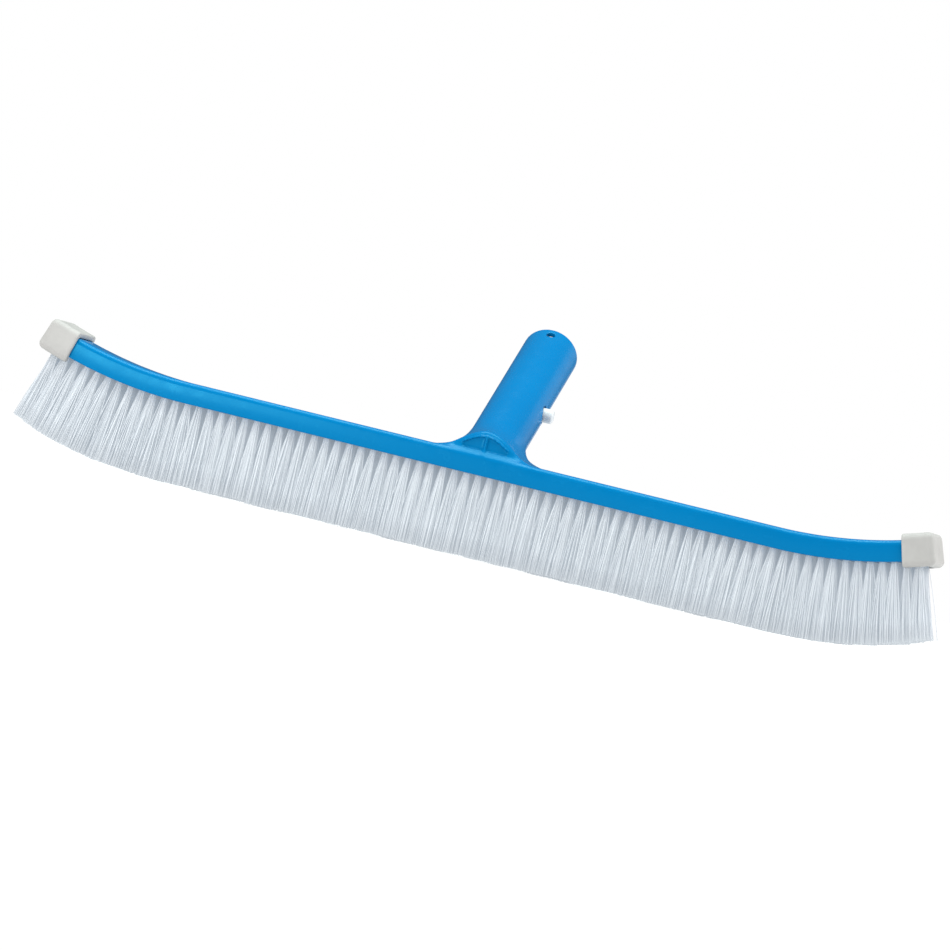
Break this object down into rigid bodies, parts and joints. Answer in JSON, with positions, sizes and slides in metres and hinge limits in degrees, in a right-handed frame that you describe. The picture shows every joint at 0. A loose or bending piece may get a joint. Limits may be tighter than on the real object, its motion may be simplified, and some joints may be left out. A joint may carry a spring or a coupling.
{
  "type": "pool wall brush",
  "caption": "Pool wall brush with a back curved up at both ends, rows of nylon tufts, soft end bumpers and a tilted pole socket with a spring clip.",
  "frame": {"origin": "centre of the flat plane that the bristle tips touch", "axes": "+X along the brush, +Z from the bristle tips up through the back, +Y the way the handle socket leans"},
  "size_m": [0.4678, 0.1272, 0.1199],
  "materials": {
    "blue_plastic": "glossy moulded polypropylene",
    "ivory_plastic": "soft satin vinyl",
    "white_plastic": "satin moulded nylon",
    "bristle_nylon": "pale translucent filament"
  },
  "bodies": {
    "brush": {"brush_back": "blue_plastic", "handle_socket": "blue_plastic", "end_cap_left": "ivory_plastic", "end_cap_right": "ivory_plastic", "clip_strip": "white_plastic", "bristle_row_1_left": "bristle_nylon", "bristle_row_1_middle": "bristle_nylon", "bristle_row_1_right": "bristle_nylon", "bristle_row_2_left": "bristle_nylon", "bristle_row_2_middle": "bristle_nylon", "bristle_row_2_right": "bristle_nylon", "bristle_row_3_left": "bristle_nylon", "bristle_row_3_middle": "bristle_nylon", "bristle_row_3_right": "bristle_nylon", "bristle_row_4_left": "bristle_nylon", "bristle_row_4_middle": "bristle_nylon", "bristle_row_4_right": "bristle_nylon", "bristle_row_5_left": "bristle_nylon", "bristle_row_5_middle": "bristle_nylon", "bristle_row_5_right": "bristle_nylon"},
    "button": {"clip_button_leg": "white_plastic"}
  },
  "joints": [
    {"name": "button_press", "type": "hinge", "parent": "brush", "child": "button", "pos_m": [0.009, 0.02119, 0.0615], "axis": [0, -0.5, 0.866], "range_deg": [0, 8.2], "stiffness_Nm_per_rad": 0.2}
  ]
}
